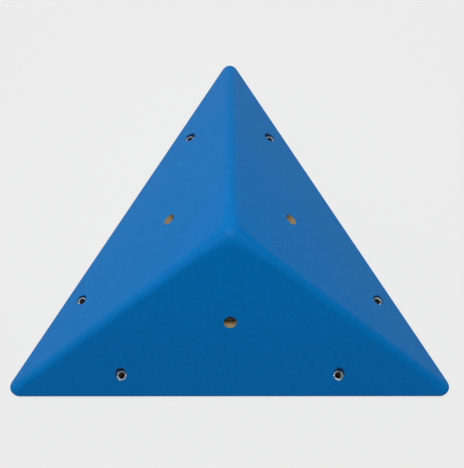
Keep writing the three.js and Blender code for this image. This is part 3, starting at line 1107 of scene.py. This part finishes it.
def teeNutPiece(name):
    # Flange below, barrel up along Z, and four prongs folded up from the flange's flats
    thick = teeNut["flangeThickness"]
    top = thick + teeNut["barrelLength"]
    flats, rim = teeNut["flats"] / 2, teeNut["flange"] / 2
    outline = []
    for step in range(teeNut["flangeSteps"]):
        turn = math.tau * step / teeNut["flangeSteps"]
        reach = min(rim, flats / max(abs(math.cos(turn)), abs(math.sin(turn))))
        outline.append((reach * math.cos(turn), reach * math.sin(turn)))
    flange = hullPiece(name, [(x, y, z) for x, y in outline for z in (0, thick)])
    softenEdges(flange, teeNut["fold"], steps=3, sharperThan=60)
    barrel, foot, chamfer = teeNut["barrel"] / 2, teeNut["fold"], teeNut["barrelChamfer"]
    rings = [
        (barrel + foot, thick / 2),
        (barrel + foot, thick),
        (barrel + midArcShare * foot, thick + midArcShare * foot),
        (barrel, thick + foot),
        (barrel, top - chamfer),
        (barrel - chamfer, top),
    ]
    combine(flange, turnedPiece("barrel", rings, teeNut["barrelFacets"]), "UNION")
    half, tip = teeNut["prongWidth"] / 2, teeNut["prongTip"]
    outer, inner = flats - teeNut["prongInset"], flats - thick
    for quarter in range(4):
        points = []
        for share in teeNut["prongShares"]:
            points += [(x, y, share * thick) for x in (-half, half) for y in (inner, outer)]
        end = thick + teeNut["prongLength"]
        points += [(x, y, end) for x in (-tip, tip) for y in (inner + tip, outer - tip)]
        prong = hullPiece("prong", points, Matrix.Rotation(quarter * math.pi / 2, 4, "Z"))
        combine(flange, prong, "UNION")
    minor, major = teeNut["threadMinor"] / 2, teeNut["threadMajor"] / 2
    low, high = -teeNut["threadRunOut"], top + teeNut["threadRunOut"]
    count = round((high - low) / teeNut["pitch"] * teeNut["ringsPerTurn"])
    rings = [(minor, blend(low, high, step / count)) for step in range(count + 1)]

    def groove(angle, height):
        phase = (height / teeNut["pitch"] - angle / math.tau) % 1
        rise = teeNut["crestFlat"] - abs(phase - 0.5) / teeNut["grooveShare"]
        return (major - minor) * min(1, max(0, rise))

    combine(flange, turnedPiece("thread", rings, teeNut["threadFacets"], swell=groove), "DIFFERENCE")
    runIn, runSide, runOut = teeNut["chamferRuns"]
    wide = minor + teeNut["chamfer"]
    cone = [(minor - runIn, teeNut["chamfer"] + runIn), (wide, 0), (wide + runSide, -runOut)]
    for end, inward in ((top, -1), (0, 1)):
        rings = [(radius, end + inward * depth) for radius, depth in cone]
        if inward > 0:
            rings.reverse()
        combine(flange, turnedPiece("chamfer", rings, teeNut["threadFacets"]), "DIFFERENCE")
    return flange


def ringPiece(name, section, facets):
    # A turned ring along Z from a closed section of (radius, height) pairs
    points, faces = [], []
    for radius, height in section:
        for step in range(facets):
            angle = math.tau * step / facets
            points.append((radius * math.cos(angle), radius * math.sin(angle), height))
    for ring in range(len(section)):
        for step in range(facets):
            a, b = ring * facets + step, ring * facets + (step + 1) % facets
            c = (ring + 1) % len(section) * facets
            faces.append((a, b, c + (step + 1) % facets, c + step))
    piece = newPiece(name, points, faces)
    piece.data.flip_normals()
    return piece


def washerPiece(name):
    # Stamped: soft round its upper rim, crisper below
    outer, inner = washer["outside"] / 2, washer["inside"] / 2
    thick, soft = washer["thickness"], washer["soft"]
    section = [
        (inner, soft / 2),
        (inner, thick - soft / 2),
        (inner + soft / 2, thick),
        (outer - soft, thick),
        (outer - midArcShare * soft, thick - midArcShare * soft),
        (outer, thick - soft),
        (outer, soft / 2),
        (outer - soft / 2, 0),
        (inner + soft / 2, 0),
    ]
    return ringPiece(name, section, washer["facets"])


nutModel = teeNutPiece("tee_nut_model")
washerModel = washerPiece("washer_model")
for model, material in ((nutModel, zinc), (washerModel, shadedWasherZinc)):
    model.data.materials.append(material)
    shadeRound(model, foldDegrees=35)
drop = volume["panelThickness"] + pad["thickness"] + 2 * volume["glueGap"] + teeNut["flangeThickness"]
for third, face in enumerate(faceNames):
    here = thirdMatrix(third)
    placeSteel(f"tee_nut_{face}", nutModel, here @ holdMatrix @ Matrix.Translation((0, 0, -drop)))
    for i, side in enumerate((-1, 1)):
        lift = Matrix.Translation((0, 0, seat + volume["glueGap"]))
        spin = Matrix.Rotation(random.uniform(0, math.tau), 4, "Z")
        placeSteel(f"fixing_washer_{face}_{i + 1}", washerModel, here @ fixingMatrix(side) @ lift @ spin)
bpy.data.objects.remove(nutModel)
bpy.data.objects.remove(washerModel)
print("Tee nuts and washers made")


# Floor, light and camera

studio = {
    "floor": "#d0d0d0",
    "paintedShadeUnder": "#161616",  # painted shade: the floor under the volume is drawn near black, and only the wall screws' holes show it
    "backdrop": "#ededed",
    "floorSize": 8.0,  # metres
    "shadeTriangleInset": 12 * mm,  # from the sharp corners to the edge of the dark triangle of painted shade under the volume
    "shadowShare": 0.2,  # how much of the light on the floor the camera sees
    "wallLight": 1.36,  # at the wall's brightest place
    "wallTowards": (-0.74, 0.67, 0),  # where that place is
    "wallFall": 3,  # how fast the light falls off round the room
    "softBoxSize": 0.7,
    "softBoxDistance": 1.8,
    "softBoxTilt": math.radians(3),  # from straight above towards the back
    "softBoxPower": 34.5,  # watts
}


def seenRays(tree):
    # The rays that see the plain backdrop: the camera's, and those that gloss and glass send on
    rays = addNode(tree, "ShaderNodeLightPath").outputs
    seen = rays["Is Camera Ray"]
    for other in ("Is Glossy Ray", "Is Transmission Ray"):
        seen = addNode(tree, "ShaderNodeMath", {0: seen, 1: rays[other]}, operation="MAXIMUM").outputs[0]
    return seen


def studioFloor(name, colour, shadowShare):
    # Matt floor, mostly a plain tone to the camera, which still takes a light shadow; the dark copy under
    # the volume is painted shade
    material, tree, shader = newMaterial(name, **{"Roughness": 1.0, "Specular IOR Level": 0.0})
    shader.inputs["Base Color"].default_value = linear(colour)
    plain = addNode(tree, "ShaderNodeEmission", {"Color": linear(studio["backdrop"]), "Strength": 1.0})
    share = addNode(tree, "ShaderNodeMath", {0: seenRays(tree), 1: 1 - shadowShare}, operation="MULTIPLY")
    mixed = addNode(
        tree,
        "ShaderNodeMixShader",
        {0: share.outputs[0], 1: shader.outputs[0], 2: plain.outputs[0]},
    )
    tree.links.new(mixed.outputs[0], tree.nodes["Material Output"].inputs["Surface"])
    return material


# The pale square has a dark triangle of painted shade in it, a little within the volume's outline
half = studio["floorSize"] / 2
points = [(-half, -half, 0), (half, -half, 0), (half, half, 0), (-half, half, 0)]
under = (circumradius - studio["shadeTriangleInset"]) * ridgeOutward
points += [thirdMatrix(third) @ under for third in (2, 0, 1)]
faces = [(0, 1, 5, 4), (1, 2, 6, 5), (2, 3, 6), (3, 0, 4, 6), (4, 5, 6)]
floor = newPiece("floor", points, faces)
floor.data.materials.append(studioFloor("paleStudioFloor", studio["floor"], studio["shadowShare"]))
floor.data.materials.append(studioFloor("paintedShadeStudioFloor", studio["paintedShadeUnder"], 1))
floor.data.polygons[-1].material_index = 1

# The room's walls light softly, brightest at the back left and fading to nothing at the front right;
# the camera, gloss and glass see the plain backdrop instead
world = bpy.data.worlds.new("softStudio")
bpy.context.scene.world = world
world.use_nodes = True
tree = world.node_tree
tree.nodes.clear()
towards = addNode(
    tree,
    "ShaderNodeVectorMath",
    {0: addNode(tree, "ShaderNodeTexCoord").outputs["Generated"], 1: studio["wallTowards"]},
    operation="DOT_PRODUCT",
)
share = addNode(
    tree,
    "ShaderNodeMapRange",
    {"Value": towards.outputs["Value"], "From Min": -1.0, "From Max": 1.0},
)
fall = addNode(tree, "ShaderNodeMath", {0: share.outputs[0], 1: studio["wallFall"]}, operation="POWER")
glow = addNode(tree, "ShaderNodeMath", {0: fall.outputs[0], 1: studio["wallLight"]}, operation="MULTIPLY")
wall = addNode(tree, "ShaderNodeBackground", {"Color": (1, 1, 1, 1), "Strength": glow.outputs[0]})
backdrop = addNode(tree, "ShaderNodeBackground", {"Color": linear(studio["backdrop"]), "Strength": 1.0})
mixed = addNode(
    tree,
    "ShaderNodeMixShader",
    {0: seenRays(tree), 1: wall.outputs[0], 2: backdrop.outputs[0]},
)
addNode(tree, "ShaderNodeOutputWorld", {"Surface": mixed.outputs[0]})

lamp = bpy.data.lights.new("softBox", "AREA")
lamp.shape = "DISK"
lamp.size = studio["softBoxSize"]
lamp.energy = studio["softBoxPower"]
softBox = addObject("softBox", lamp)
tilt = studio["softBoxTilt"]
softBox.location = Vector((0, math.sin(tilt), math.cos(tilt))) * studio["softBoxDistance"]
softBox.rotation_mode = "QUATERNION"
softBox.rotation_quaternion = softBox.location.to_track_quat("Z", "Y")

# The camera, set by matching the outline and the bores to the photograph
view = {
    "target": (2.04 * mm, -35.33 * mm, 46 * mm),  # the middle of the picture
    "distance": 814 * mm,
    "elevation": math.radians(69.06),
    "yaw": math.radians(-0.948),
    "roll": math.radians(0.922),
    "lens": 60.66,
    "sensor": 36,
}

back = Vector(
    (
        math.sin(view["yaw"]) * math.cos(view["elevation"]),
        -math.cos(view["yaw"]) * math.cos(view["elevation"]),
        math.sin(view["elevation"]),
    )
)
level = alongZ.cross(back).normalized()
upright = back.cross(level)
rolled = Matrix((level, upright, back)).transposed() @ Matrix.Rotation(view["roll"], 3, "Z")
cameraData = bpy.data.cameras.new("camera")
cameraData.lens = view["lens"]
cameraData.sensor_width = view["sensor"]
cameraPlace = Matrix.Translation(Vector(view["target"]) + back * view["distance"]) @ rolled.to_4x4()
camera = addObject("camera", cameraData, cameraPlace)
bpy.context.scene.camera = camera
bpy.context.scene.view_settings.view_transform = "Standard"
print("Studio set")
